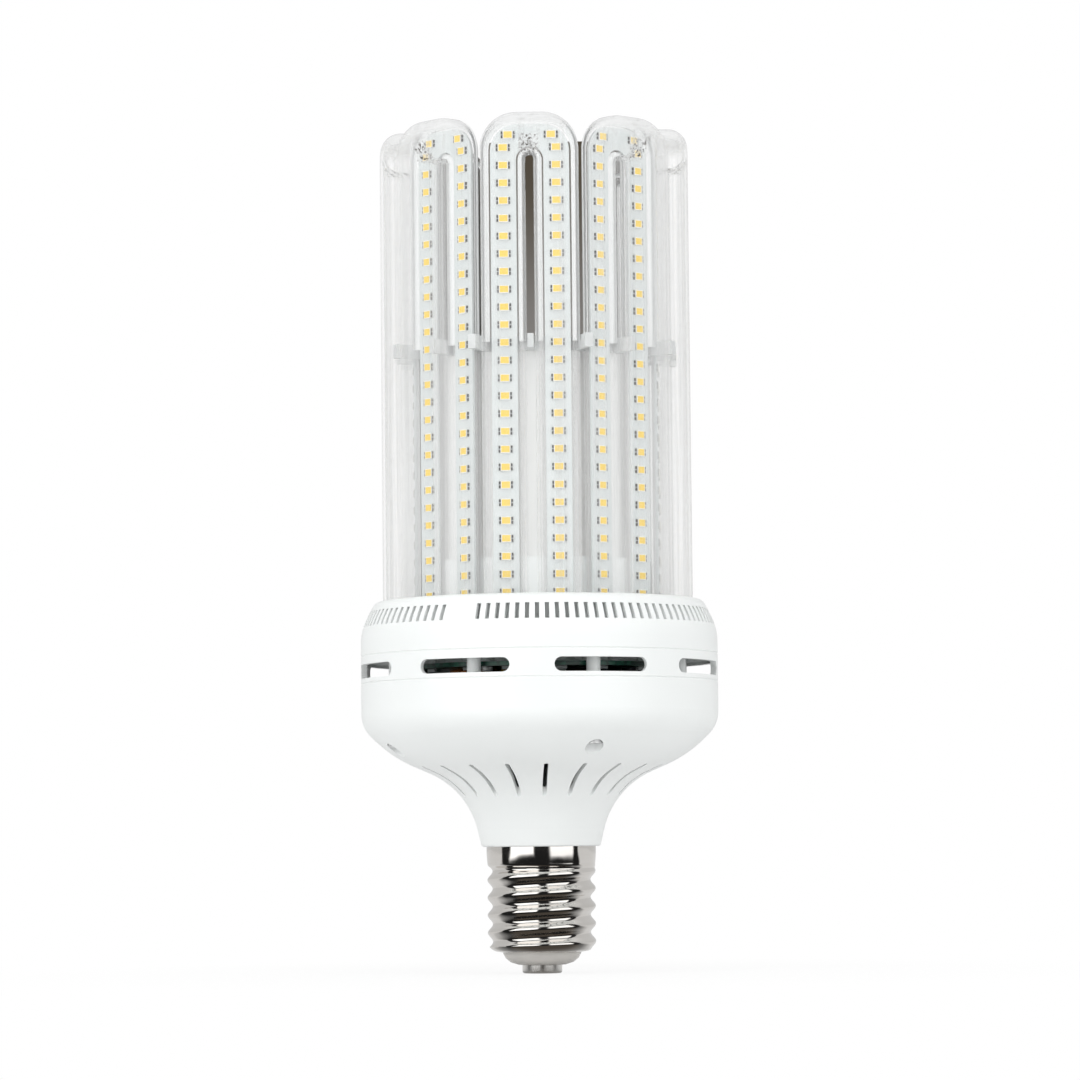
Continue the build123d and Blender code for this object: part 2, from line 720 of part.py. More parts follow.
output_capacitor_places = [on_board(0.66, 0.233), on_board(0.66, -0.272)]
output_capacitor_radius = 4.0
output_capacitor_height = 14.0
with BuildPart() as output_capacitors:
    with BuildSketch(Plane.XY.offset(driver_board_bottom)):
        with Locations(*output_capacitor_places):
            Circle(output_capacitor_radius)
    extrude(amount=-output_capacitor_height)
output_capacitors.part.label = "output_capacitors"
export_step(output_capacitors.part, "parts/output_capacitors.step")

# Line choke, a wound ring that lies against the board
choke_place = on_board(-0.427, -0.194)
choke_radius = 10.0
choke_hole_radius = 3.5
choke_height = 9.0
with BuildPart() as line_choke:
    with BuildSketch(Plane.XY.offset(driver_board_bottom)):
        with Locations(choke_place):
            Circle(choke_radius)
            Circle(choke_hole_radius, mode=Mode.SUBTRACT)
    extrude(amount=-choke_height)
line_choke.part.label = "line_choke"
export_step(line_choke.part, "parts/line_choke.step")

film_capacitor_place = on_board(-0.078, -0.505)
film_capacitor_size = (17.0, 8.0, 14.0)
with BuildPart() as film_capacitor:
    with BuildSketch(Plane.XY.offset(driver_board_bottom)):
        with Locations(film_capacitor_place):
            RectangleRounded(film_capacitor_size[0], film_capacitor_size[1], lead_radius)
    extrude(amount=-film_capacitor_size[2])
film_capacitor.part.label = "film_capacitor"
export_step(film_capacitor.part, "parts/film_capacitor.step")

rectifier_place = on_board(0.272, -0.466)
rectifier_size = (15.0, 4.0, 11.0)
with BuildPart() as bridge_rectifier:
    with BuildSketch(Plane.XY.offset(driver_board_bottom)):
        with Locations(rectifier_place):
            Rectangle(rectifier_size[0], rectifier_size[1])
    extrude(amount=-rectifier_size[2])
    chamfer(bridge_rectifier.edges().filter_by(Axis.Z).sort_by(Axis.X)[-1], lead_radius)
bridge_rectifier.part.label = "bridge_rectifier"
export_step(bridge_rectifier.part, "parts/bridge_rectifier.step")

# Heat sink, a finned extrusion, with the power transistor against its flat side
heat_sink_place = on_board(0.078, 0.553)
heat_sink_size = (30.0, 8.0, 20.0)
heat_sink_base = 2.0
fin_count = 6
fin_thickness = 1.4
with BuildPart() as heat_sink:
    with BuildSketch(Plane.XY.offset(driver_board_bottom)):
        with Locations(heat_sink_place):
            Rectangle(heat_sink_size[0], heat_sink_base, align=(Align.CENTER, Align.MIN))
            fin_pitch = (heat_sink_size[0] - fin_thickness) / (fin_count - 1)
            with GridLocations(fin_pitch, 0, fin_count, 1):
                Rectangle(fin_thickness, heat_sink_size[1], align=(Align.CENTER, Align.MIN))
    extrude(amount=-heat_sink_size[2])
heat_sink.part.label = "heat_sink"
export_step(heat_sink.part, "parts/heat_sink.step")

transistor_size = (10.0, 4.5, 15.0)
transistor_offset = -2.0
with BuildPart() as power_transistor:
    with BuildSketch(Plane.XY.offset(driver_board_bottom)):
        with Locations((heat_sink_place[0] + transistor_offset, heat_sink_place[1])):
            Rectangle(transistor_size[0], transistor_size[1], align=(Align.CENTER, Align.MAX))
    extrude(amount=-transistor_size[2])
power_transistor.part.label = "power_transistor"
export_step(power_transistor.part, "parts/power_transistor.step")

fuse_place = on_board(0.039, -0.699)
fuse_radius = 2.5
fuse_length = 18.0
fuse_cap_length = 4.0
fuse_waist = 0.3
with BuildPart() as fuse:
    fuse_start = fuse_place[0] - fuse_length / 2
    fuse_axis = Plane(
        origin=(fuse_start, fuse_place[1], driver_board_bottom - fuse_radius),
        x_dir=(0, 1, 0),
        z_dir=(1, 0, 0),
    )
    with BuildSketch(fuse_axis):
        Circle(fuse_radius)
    extrude(amount=fuse_length)
    with BuildSketch(fuse_axis.offset(fuse_cap_length)):
        Circle(fuse_radius)
        Circle(fuse_radius - fuse_waist, mode=Mode.SUBTRACT)
    extrude(amount=fuse_length - 2 * fuse_cap_length, mode=Mode.SUBTRACT)
fuse.part.label = "fuse"
export_step(fuse.part, "parts/fuse.step")

# Leads from the driver board down the neck: one to the contact's rivet, one to the shell
lead_top = driver_board_bottom - rim_clearance
lead_drop = 21.3
contact_end = insulator_top + contact_rivet_height + rim_clearance
contact_route = [
    (4.0, -3.0, lead_top),
    (5.0, -4.0, lead_top - lead_drop),
    (1.5, -1.0, flare_corner_height - 4.5),
    (2.0, 1.5, shell_thread_top - 1.8),
    (0.0, 0.0, contact_end),
]
shell_lead_reach = shell_thread_radius - shell_wall - lead_radius - rim_clearance
shell_route = [
    (-5.0, -4.0, lead_top),
    (-6.0, -3.0, lead_top - lead_drop),
    (-4.0, 1.0, flare_corner_height - 0.5),
    (-8.0, 0.5, neck_bottom + 4.3),
    (-shell_lead_reach, 0.0, shell_thread_top - 5.8),
]
for name, route in (("contact_lead", contact_route), ("shell_lead", shell_route)):
    radii = route_radii(route)
    print(name, "bend radii", [round(radius, 1) for radius in radii])
    with BuildPart() as lead:
        with BuildLine():
            path = FilletPolyline(*route, radius=radii)
        with BuildSketch(Plane(origin=path @ 0, z_dir=path % 0)):
            Circle(lead_radius)
        sweep(path=path)
    print(name, "volume", round(lead.part.volume, 1), "of", round(path.length * 3.14159 * lead_radius**2, 1))
    lead.part.label = name
    export_step(lead.part, f"parts/{name}.step")
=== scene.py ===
# LED U-tube lamp with a 40 mm screw cap, dressed for its portrait.
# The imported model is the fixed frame. Lengths are in metres, so MM turns millimetres into them.

from math import atan2, cos, pi, radians, sin

import bmesh
import bpy
from mathutils import Matrix, Vector


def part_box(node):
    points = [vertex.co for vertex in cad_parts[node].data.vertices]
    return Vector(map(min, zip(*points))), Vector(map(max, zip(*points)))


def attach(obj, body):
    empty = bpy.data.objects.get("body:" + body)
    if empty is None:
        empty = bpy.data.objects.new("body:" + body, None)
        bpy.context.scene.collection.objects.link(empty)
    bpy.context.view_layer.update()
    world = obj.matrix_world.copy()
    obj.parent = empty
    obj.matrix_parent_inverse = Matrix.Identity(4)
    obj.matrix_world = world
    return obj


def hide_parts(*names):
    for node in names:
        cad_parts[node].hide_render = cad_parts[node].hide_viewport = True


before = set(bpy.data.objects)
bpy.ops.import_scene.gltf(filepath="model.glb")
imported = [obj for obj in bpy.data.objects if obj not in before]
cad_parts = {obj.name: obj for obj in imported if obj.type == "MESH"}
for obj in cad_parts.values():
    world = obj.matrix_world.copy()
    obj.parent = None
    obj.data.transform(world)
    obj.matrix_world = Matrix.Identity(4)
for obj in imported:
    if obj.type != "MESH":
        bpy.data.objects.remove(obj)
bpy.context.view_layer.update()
bpy.ops.object.select_all(action="DESELECT")
MM = 0.001


# White mouldings. The bell, the window ring and the top cover are injection moulded in one
# satin white plastic, with a faint grain from the mould and a trace of cool tint.
class Signal:
    """A value in a node tree, which adds maths nodes to the tree as it is used in a sum."""

    def __init__(self, nodes, socket):
        self.nodes = nodes
        self.socket = socket

    def maths(self, operation, *terms):
        """One Math node on the given terms."""
        return self.nodes.node("ShaderNodeMath", {"operation": operation}, dict(enumerate(terms)))

    def __add__(self, other):
        return self.maths("ADD", self, other)

    def __rsub__(self, other):
        return self.maths("SUBTRACT", other, self)

    def __mul__(self, other):
        return self.maths("MULTIPLY", self, other)

    def __pow__(self, other):
        return self.maths("POWER", self, other)

    def __gt__(self, other):
        return self.maths("GREATER_THAN", self, other)

    def __abs__(self):
        return self.maths("ABSOLUTE", self)

    __radd__ = __add__
    __rmul__ = __mul__

    def ramp(self, low, high):
        """Rises smoothly from 0 at low to 1 at high."""
        return self.nodes.node(
            "ShaderNodeMapRange",
            {"interpolation_type": "SMOOTHSTEP"},
            {"Value": self, "From Min": low, "From Max": high},
            "Result",
        )


class NodeTree:
    """A tree of shader nodes, all of which one method adds."""

    def __init__(self, tree):
        self.tree = tree

    def feed(self, socket, value):
        """Puts a value or a signal on a socket."""
        if isinstance(value, Signal):
            self.tree.links.new(value.socket, socket)
        else:
            socket.default_value = value

    def node(self, kind, settings=None, sockets=None, output=0):
        """Adds a node: its settings first, then the values and links of its sockets."""
        node = self.tree.nodes.new(kind)
        for name, value in (settings or {}).items():
            setattr(node, name, value)
        for name, value in (sockets or {}).items():
            self.feed(node.inputs[name], value)
        return Signal(self, node.outputs[output])

    def place(self):
        """Where a point of the piece lies, in metres."""
        return self.node("ShaderNodeTexCoord", output="Object")

    def normal(self):
        """Which way the surface faces at a point of the piece."""
        return self.node("ShaderNodeNewGeometry", output="Normal")

    def split(self, vector):
        """The x, y and z of a vector."""
        first = self.node("ShaderNodeSeparateXYZ", sockets={"Vector": vector})
        return [Signal(self, socket) for socket in first.socket.node.outputs]

    def stretched(self, scale):
        """The piece's own place, multiplied along x, y and z."""
        return self.node("ShaderNodeMapping", sockets={"Vector": self.place(), "Scale": scale})

    def noise(self, scale, detail, vector=None):
        """Cloudy variation between 0 and 1 with that many cycles in a metre."""
        return self.node(
            "ShaderNodeTexNoise",
            sockets={"Vector": vector or self.place(), "Scale": scale, "Detail": detail},
        )

    def blend(self, share, first, second):
        """A colour between two others."""
        colours = [tint if isinstance(tint, Signal) else (*tint, 1.0) for tint in (first, second)]
        sockets = {0: share, 6: colours[0], 7: colours[1]}
        return self.node("ShaderNodeMix", {"data_type": "RGBA"}, sockets, 2)

    def glow(self, colour, strength):
        """A shader of even light."""
        sockets = {"Color": (*colour, 1.0), "Strength": strength}
        return self.node("ShaderNodeEmission", sockets=sockets)

    def mixed(self, share, first, second):
        """A shader between two others."""
        return self.node("ShaderNodeMixShader", sockets={0: share, 1: first, 2: second})

    def light_path(self, kind):
        """1 for rays of that kind and 0 for others."""
        return self.node("ShaderNodeLightPath", output=kind)


class Finish(NodeTree):
    """A material that is put together round one Principled shader."""

    def __init__(self, name, colour, roughness, metallic=0.0):
        self.material = bpy.data.materials.new(name)
        self.material.use_nodes = True
        super().__init__(self.material.node_tree)
        self.shader = self.tree.nodes["Principled BSDF"]
        self.set("Base Color", (*colour, 1.0))
        self.set("Roughness", roughness)
        self.set("Metallic", metallic)

    def set(self, name, value):
        """Puts a value or a signal on one of the shader's own sockets."""
        self.feed(self.shader.inputs[name], value)

    def vary(self, pattern, light, dark, roughness, spread):
        """Lets the colour and the roughness follow a pattern."""
        self.set("Base Color", self.blend(pattern, light, dark))
        self.set("Roughness", roughness + spread * pattern)

    def bump(self, height, depth, strength):
        """Relief of that depth in metres."""
        sockets = {"Height": height, "Distance": depth, "Strength": strength}
        self.set("Normal", self.node("ShaderNodeBump", sockets=sockets))

    def surface(self):
        """What the Principled shader gives."""
        return Signal(self, self.shader.outputs[0])

    def show(self, surface):
        """Makes a shader the one that the material shows."""
        self.feed(self.tree.nodes["Material Output"].inputs["Surface"], surface)


def dress(finish, *names):
    """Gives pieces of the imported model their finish."""
    for name in names:
        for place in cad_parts[name].material_slots:
            place.material = finish.material


white_plastic = Finish("satin_white_plastic", (0.86, 0.86, 0.85), 0.42)
mould_clouds = white_plastic.noise(45.0, 3.0)
mould_grain = white_plastic.noise(5200.0, 1.0)
white_plastic.vary(mould_clouds, (0.855, 0.87, 0.865), (0.825, 0.84, 0.835), 0.36, 0.12)
white_plastic.bump(mould_grain, 0.012 * MM, 0.5)
dress(white_plastic, "lower_housing", "window_ring", "top_cover")


# Screw cap. The shell is thin sheet, nickel plated and rolled to a knuckle thread below a
# slightly barrelled collar. It replaces the plain shell of the frame, inside its outline.
def edit(piece):
    """Opens one piece in edit mode, with nothing selected."""
    bpy.ops.object.select_all(action="DESELECT")
    bpy.context.view_layer.objects.active = piece
    piece.select_set(True)
    bpy.ops.object.mode_set(mode="EDIT")
    bpy.ops.mesh.select_all(action="DESELECT")


def pick(piece, kind, test):
    """Selects the edges or the faces that pass a test, in edit mode."""
    mesh = bmesh.from_edit_mesh(piece.data)
    bpy.ops.mesh.select_mode(type=kind)
    for element in mesh.edges if kind == "EDGE" else mesh.faces:
        element.select_set(bool(test(element)))
    bmesh.update_edit_mesh(piece.data)


def settle(piece, name, finish, replaced, angle):
    """Ends a piece: its place goes into its mesh, it gets a name, a finish and a body, and the piece it
    replaces is hidden.
    """
    if bpy.context.object and bpy.context.object.mode == "EDIT":
        bpy.ops.object.mode_set(mode="OBJECT")
    bpy.ops.object.select_all(action="DESELECT")
    bpy.context.view_layer.objects.active = piece
    piece.select_set(True)
    bpy.ops.object.transform_apply(location=True, rotation=True, scale=True)
    bpy.ops.object.shade_smooth_by_angle(angle=radians(angle))
    piece.select_set(False)
    piece.name = name
    piece.data.name = name
    if finish:
        piece.data.materials.clear()
        piece.data.materials.append(finish.material)
    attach(piece, "root")
    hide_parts(replaced)


def add_modifier(piece, kind, **settings):
    """Adds a modifier with its settings and applies it."""
    bpy.ops.object.mode_set(mode="OBJECT")
    bpy.context.view_layer.objects.active = piece
    modifier = piece.modifiers.new(kind.lower(), kind)
    for name, value in settings.items():
        setattr(modifier, name, value)
    bpy.ops.object.modifier_apply(modifier=modifier.name)


nickel = Finish("polished_nickel", (0.78, 0.76, 0.73), 0.10, 1.0)
wipe_marks = nickel.noise(30.0, 4.0, nickel.stretched((1.0, 1.0, 12.0)))
rolling_waves = nickel.noise(150.0, 0.5, nickel.stretched((1.0, 1.0, 0.6)))
nickel.vary(wipe_marks, (0.80, 0.775, 0.745), (0.70, 0.675, 0.64), 0.05, 0.07)
nickel.bump(rolling_waves, 0.8 * MM, 0.6)

shell_low, shell_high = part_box("screw_shell")
shell_sheet = 0.5 * MM
shell_segments = 112
shell_rows = 120
crest_radius = 19.6 * MM
valley_radius = 17.75 * MM
thread_pitch = 6.35 * MM
thread_phase = 0.80
thread_top = 39.6 * MM
thread_top_slant = 0.4 * MM
thread_run_out = 1.7 * MM
collar_radius = shell_high.x
collar_middle = 44.6 * MM
collar_half = 5.1 * MM
collar_barrel = 0.3 * MM
rim_radius = 14.45 * MM
shoulder_height = 11.2 * MM


def shell_radius(height, angle):
    """The outside radius of the screw shell at a height and an angle."""
    turns = height / thread_pitch - angle / (2 * pi) - thread_phase
    wave = 0.5 - 0.5 * cos(2 * pi * turns)
    threaded = crest_radius - (crest_radius - valley_radius) * wave
    end = thread_top - thread_top_slant * (1 + cos(angle))
    share = min(1.0, max(0.0, (end - height) / thread_run_out))
    share = share * share * (3 - 2 * share)
    bulge = min(1.0, abs(height - collar_middle) / collar_half)
    collar = collar_radius - collar_barrel * bulge * bulge
    radius = collar + (threaded - collar) * share
    if height < shoulder_height:
        fall = (shoulder_height - height) / (shoulder_height - shell_low.z)
        radius = min(radius, rim_radius + (crest_radius - rim_radius) * (1 - fall**2) ** 0.5)
    return radius


bpy.ops.mesh.primitive_cylinder_add(
    vertices=shell_segments,
    radius=crest_radius,
    depth=shell_high.z - shell_low.z,
    end_fill_type="NOTHING",
    location=(0, 0, (shell_high.z + shell_low.z) / 2),
)
shell = bpy.context.object
edit(shell)
pick(shell, "EDGE", lambda edge: abs(edge.verts[0].co.z - edge.verts[1].co.z) > MM)
bpy.ops.mesh.subdivide(number_cuts=shell_rows - 1)
bpy.ops.object.mode_set(mode="OBJECT")
bpy.ops.object.transform_apply(location=True)
for point in shell.data.vertices:
    point_angle = atan2(point.co.y, point.co.x)
    point_radius = shell_radius(point.co.z, point_angle)
    point.co.x = point_radius * cos(point_angle)
    point.co.y = point_radius * sin(point_angle)
add_modifier(shell, "SOLIDIFY", thickness=shell_sheet, offset=-1.0)
settle(shell, "threaded_shell", nickel, "screw_shell", 60.0)


# Contact and insulator. The contact is a plated button riveted through a smooth dome of
# grey-beige plastic that fills the end of the shell.
def turned(name, outline, finish, replaced, angle):
    """Spins an outline of (radius, height) pairs round the lamp's axis."""
    mesh = bpy.data.meshes.new(name)
    points = [(radius, 0.0, height) for radius, height in outline]
    mesh.from_pydata(points, [(i, i + 1) for i in range(len(points) - 1)], [])
    piece = bpy.data.objects.new(name, mesh)
    bpy.context.collection.objects.link(piece)
    edit(piece)
    bpy.ops.mesh.select_all(action="SELECT")
    bpy.ops.mesh.spin(steps=72, angle=2 * pi, center=(0, 0, 0), axis=(0, 0, 1))
    bpy.ops.mesh.select_all(action="SELECT")
    bpy.ops.mesh.remove_doubles(threshold=0.001 * MM)
    bpy.ops.mesh.normals_make_consistent(inside=False)
    settle(piece, name, finish, replaced, angle)


def arc(centre, radius, start, end, steps):
    """Points on a round stretch of an outline, between two angles in degrees."""
    angles = [radians(start + (end - start) * step / steps) for step in range(steps + 1)]
    return [(centre[0] + radius * cos(a), centre[1] + radius * sin(a)) for a in angles]


contact_low, contact_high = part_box("centre_contact")
contact_radius = contact_high.x
contact_height = 3.1 * MM
contact_edge = 0.9 * MM
dimple_radius = 2.2 * MM
dimple_depth = 0.35 * MM
contact_outline = (
    [(0.0, dimple_depth), (dimple_radius * 0.7, dimple_depth - 0.05 * MM), (dimple_radius, 0.0)]
    + arc((contact_radius - contact_edge, contact_edge), contact_edge, -90, 0, 8)
    + [(contact_radius, contact_height), (0.0, contact_height)]
)
worn_nickel = Finish("brushed_contact_nickel", (0.70, 0.69, 0.67), 0.22, 1.0)
contact_marks = worn_nickel.noise(260.0, 5.0)
worn_nickel.vary(contact_marks, (0.90, 0.89, 0.87), (0.74, 0.73, 0.70), 0.24, 0.1)
worn_nickel.bump(contact_marks, 0.01 * MM, 0.2)
turned("contact_button", contact_outline, worn_nickel, "centre_contact", 35.0)

insulator_low, insulator_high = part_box("cap_insulator")
rivet_radius = 1.8 * MM
nose_radius = 8.6 * MM
throat_radius = 14.2 * MM
throat_height = 7.4 * MM
seat_height = 9.0 * MM
insulator_outline = [
    (rivet_radius, insulator_low.z),
    (nose_radius, insulator_low.z),
    (11.4 * MM, 4.0 * MM),
    (13.2 * MM, 5.5 * MM),
    (throat_radius, throat_height),
    (throat_radius, seat_height),
    (throat_radius, insulator_high.z),
    (rivet_radius, insulator_high.z),
]
cap_plastic = Finish("cap_insulator_plastic", (0.64, 0.61, 0.58), 0.3)
cap_clouds = cap_plastic.noise(160.0, 4.0)
cap_plastic.vary(cap_clouds, (0.68, 0.65, 0.62), (0.58, 0.56, 0.53), 0.24, 0.14)
cap_plastic.bump(cap_clouds, 0.02 * MM, 0.3)
turned("insulator_dome", insulator_outline, cap_plastic, "cap_insulator", 60.0)

# Screws. Four zinc plated pan heads with a cross recess sit in the round recesses of the
# bell and clamp it to the pillars of the cover, and four like them hold the driver board.
zinc = Finish("zinc_plated_steel", (0.72, 0.72, 0.72), 0.45, 0.7)
zinc.vary(zinc.noise(700.0, 3.0), (0.80, 0.80, 0.79), (0.66, 0.67, 0.68), 0.4, 0.2)
dress(zinc, "housing_screws", "board_screws")

# Clear tubes. Each is one clear moulding with an open back, bent to a flat-topped U. Its walls are
# drawn with faint lengthwise ripples and its crown is lightly frosted. The fork of the U carries
# painted dark dots that stand in for the refraction clutter there. The haze thickens at grazing angles,
# painted in for the grey edges that refraction gives, and the walls give off a faint painted glow.
tube_count = 8
wall = 1.2 * MM
crown_corner = 13.0 * MM
front_round = 7.2 * MM
back_round = 2.6 * MM
slit_width = 3.0 * MM
slit_crown = 291.5 * MM
near = 0.01 * MM
tube_low, tube_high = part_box("tube_cover_1")
tube_middle = (tube_low + tube_high) / 2


def bevel(width, segments):
    """Rounds the edges that are selected."""
    bpy.ops.mesh.bevel(offset=width, segments=segments, affect="EDGES", clamp_overlap=False)


def round_crown(piece, height, width, segments):
    """Rounds the edges of a block that run from front to back at a height."""
    edit(piece)
    pick(
        piece,
        "EDGE",
        lambda edge: abs(edge.verts[0].co.y - edge.verts[1].co.y) > MM
        and edge.verts[0].co.z > height - near,
    )
    bevel(width, segments)
    bpy.ops.object.mode_set(mode="OBJECT")


def add_cuboid(centre, size):
    """A block of that size, with its place in its mesh."""
    bpy.ops.mesh.primitive_cube_add(size=1.0, location=centre)
    cuboid = bpy.context.object
    cuboid.scale = size
    bpy.ops.object.transform_apply(location=True, rotation=True, scale=True)
    return cuboid


tube = add_cuboid(tube_middle, tube_high - tube_low)
round_crown(tube, tube_high.z, crown_corner, 18)

slit_bottom = tube_low.z - 5 * MM
slit = add_cuboid(
    (0, tube_middle.y, (slit_crown + slit_bottom) / 2),
    (slit_width, 2 * (tube_high.y - tube_low.y), slit_crown - slit_bottom),
)
round_crown(slit, slit_crown, slit_width * 0.499, 8)
add_modifier(tube, "BOOLEAN", operation="DIFFERENCE", object=slit, solver="EXACT")
bpy.data.objects.remove(slit)


def on_face_rim(edge, depth):
    """An edge that lies in a plane across the depth, apart from those at the foot."""
    first, second = edge.verts
    in_plane = abs(first.co.y - depth) < near and abs(second.co.y - depth) < near
    at_foot = first.co.z < tube_low.z + near and second.co.z < tube_low.z + near
    return in_plane and not at_foot


edit(tube)
pick(tube, "EDGE", lambda edge: on_face_rim(edge, tube_low.y))
bevel(front_round, 14)
pick(tube, "EDGE", lambda edge: on_face_rim(edge, tube_high.y))
bevel(back_round, 5)
pick(
    tube,
    "FACE",
    lambda face: all(abs(v.co.y - tube_high.y) < near for v in face.verts)
    or all(abs(v.co.z - tube_low.z) < near for v in face.verts),
)
bpy.ops.mesh.delete(type="FACE")
bpy.ops.mesh.select_all(action="SELECT")
bpy.ops.mesh.remove_doubles(threshold=0.002 * MM)
add_modifier(tube, "SOLIDIFY", thickness=wall, offset=-1.0, use_even_offset=True)

# The section map keeps each point's place across the first tube, so that the ripples run
# along the walls of every copy.
section = tube.data.uv_layers.new(name="section")
for loop in tube.data.loops:
    corner = tube.data.vertices[loop.vertex_index].co
    section.data[loop.index].uv = (corner.x, corner.y)

frost_foot = 298.0 * MM
frost_full = 305.0 * MM
fork_foot = 290.0 * MM
fork_top = 298.5 * MM
fork_half = 4.2 * MM
fork_fade = 2.0 * MM
drawing_stretch = 0.012
haze_limit = 0.97
clear_plastic = Finish("clear_tube_plastic", (0.93, 0.93, 0.925), 0.16)
section_map = clear_plastic.node("ShaderNodeUVMap", {"uv_map": "section"})
across, depth = clear_plastic.split(section_map)[:2]
tube_x, tube_y, tube_z = clear_plastic.split(clear_plastic.place())
drawn = clear_plastic.node(
    "ShaderNodeCombineXYZ", sockets={"X": across, "Y": depth, "Z": tube_z * drawing_stretch}
)
ripple = clear_plastic.noise(520.0, 3.0, drawn)
broad_ripple = clear_plastic.noise(170.0, 1.0, drawn)
streak = ripple.ramp(0.53, 0.68)
frost = tube_z.ramp(frost_foot, frost_full)
fork_level = tube_z.ramp(fork_foot, fork_foot + fork_fade) * tube_z.ramp(fork_top, fork_top - fork_fade)
fork = abs(across).ramp(fork_half, fork_half - fork_fade) * fork_level
# Painted refraction: dark dots at the fork of the U stand in for the refraction clutter there.
fork_refraction_dots = clear_plastic.noise(950.0, 4.0).ramp(0.54, 0.60) * fork
# Painted edge shade: the haze thickens towards grazing angles, standing in for the grey edges that
# refraction gives the walls.
rim = clear_plastic.node("ShaderNodeLayerWeight", sockets={"Blend": 0.35}, output="Facing")
haze = 0.03 + 0.12 * broad_ripple + 0.22 * streak + 0.4 * rim * rim + 0.7 * frost + 0.25 * fork
covered = haze + fork_refraction_dots
body_colour = clear_plastic.blend(streak, (0.50, 0.50, 0.50), (0.36, 0.36, 0.355))
# Painted glow: the walls give off faint even light, but none where the painted dark dots lie.
painted_glow = clear_plastic.blend(fork_refraction_dots, (0.28, 0.28, 0.28), (0, 0, 0))
clear_plastic.set("Base Color", clear_plastic.blend(fork_refraction_dots, body_colour, (0.12, 0.11, 0.10)))
clear_plastic.set("Emission Color", painted_glow)
clear_plastic.set("Emission Strength", 1.0)
clear_plastic.set("Roughness", 0.12 + 0.2 * frost)
clear_plastic.bump(ripple, 0.05 * MM, 0.5)
see_through = clear_plastic.node("ShaderNodeBsdfTransparent")
hazy = clear_plastic.mixed(
    covered.maths("MINIMUM", covered, haze_limit), see_through, clear_plastic.surface()
)
surface_gloss = clear_plastic.node(
    "ShaderNodeBsdfAnisotropic", sockets={"Color": (1, 1, 1, 1), "Roughness": 0.08}
)
leaving = clear_plastic.node("ShaderNodeNewGeometry", output="Backfacing")
mirror_share = (1.0 - leaving) * clear_plastic.node("ShaderNodeFresnel", sockets={"IOR": 1.2})
glossed = clear_plastic.mixed(mirror_share, hazy, surface_gloss)
shadow_ray = clear_plastic.light_path("Is Shadow Ray")
diffuse_ray = clear_plastic.light_path("Is Diffuse Ray")
lit_through = shadow_ray.maths("MAXIMUM", shadow_ray, diffuse_ray)
clear_wall = clear_plastic.mixed(lit_through, glossed, see_through)

# Above the spacer the bevelled backs of the tubes are coated white towards the boards. Towards the core
# they carry painted shade in dark brown-grey, darkest at the top.
coat_foot = 225.0 * MM
coat_turn = -24.0 * MM
core_top = 315 * MM
core_foot = 222 * MM
# Painted shade: the core side is dark brown-grey at the top and paler lower down.
core_painted_shade = (0.075, 0.066, 0.055)
core_pale_shade = (0.20, 0.19, 0.18)
normal_x, normal_y, normal_z = clear_plastic.split(clear_plastic.normal())
facing_out = (tube_x * normal_x + tube_y * normal_y) > coat_turn
coat_marks = clear_plastic.noise(300.0, 3.0, clear_plastic.stretched((1.0, 1.0, 0.05)))
coat_painted_shade = clear_plastic.blend(tube_z.ramp(core_top, core_foot), core_painted_shade, core_pale_shade)
coat_white = clear_plastic.blend(coat_marks, (0.90, 0.90, 0.90), (0.80, 0.81, 0.81))
coat_and_shade_colour = clear_plastic.blend(facing_out, coat_painted_shade, coat_white)
coat_and_painted_shade = clear_plastic.node(
    "ShaderNodeBsdfPrincipled", sockets={"Base Color": coat_and_shade_colour, "Roughness": 0.4}
)
coat_and_shade_zone = (depth > tube_high.y - 0.96 * back_round) * (tube_z > coat_foot)
clear_plastic.show(clear_plastic.mixed(coat_and_shade_zone, clear_wall, coat_and_painted_shade))


def ring_of(piece, name):
    """A piece of the first tube, followed by its copies turned to the other tubes' places."""
    pieces = [piece]
    for number in range(2, tube_count + 1):
        copy = piece.copy()
        copy.data = piece.data.copy()
        copy.data.transform(Matrix.Rotation(2 * pi * (number - 1) / tube_count, 4, "Z"))
        copy.name = f"{name}_{number}"
        copy.data.name = copy.name
        bpy.context.collection.objects.link(copy)
        pieces.append(copy)
    return pieces


def settle_ring(piece, name, finish, replaced, angle):
    """Ends a piece of the first tube and its copies at the other tubes."""
    for number, each in enumerate(ring_of(piece, name), start=1):
        settle(each, f"{name}_{number}", finish, f"{replaced}_{number}", angle)


settle_ring(tube, "clear_tube", clear_plastic, "tube_cover", 35.0)

# Backs of the tubes. Strips of aluminium close the tubes behind the boards. Their outer sides are lined
# white, and the sides towards the core carry painted shade, darkest at the top.
strip_metal = Finish("white_lined_aluminium", (0.84, 0.84, 0.84), 0.35)
strip_x, strip_y, strip_z = strip_metal.split(strip_metal.place())
normal_x, normal_y, normal_z = strip_metal.split(strip_metal.normal())
outwards = (strip_x * normal_x + strip_y * normal_y) > 0.0
rolling = strip_metal.noise(900.0, 2.0, strip_metal.stretched((1.0, 1.0, 0.02)))
bright_side = strip_metal.blend(rolling, (0.92, 0.92, 0.92), (0.86, 0.86, 0.86))
# Painted shade, as on the tubes' backs: darkest at the top.
painted_shade_side = strip_metal.blend(strip_z.ramp(core_top, core_foot), core_painted_shade, core_pale_shade)
strip_metal.set("Base Color", strip_metal.blend(outwards, painted_shade_side, bright_side))
strip_metal.set("Roughness", 0.3 + 0.2 * rolling)
dress(strip_metal, *[f"tube_back_{n}" for n in range(1, tube_count + 1)])

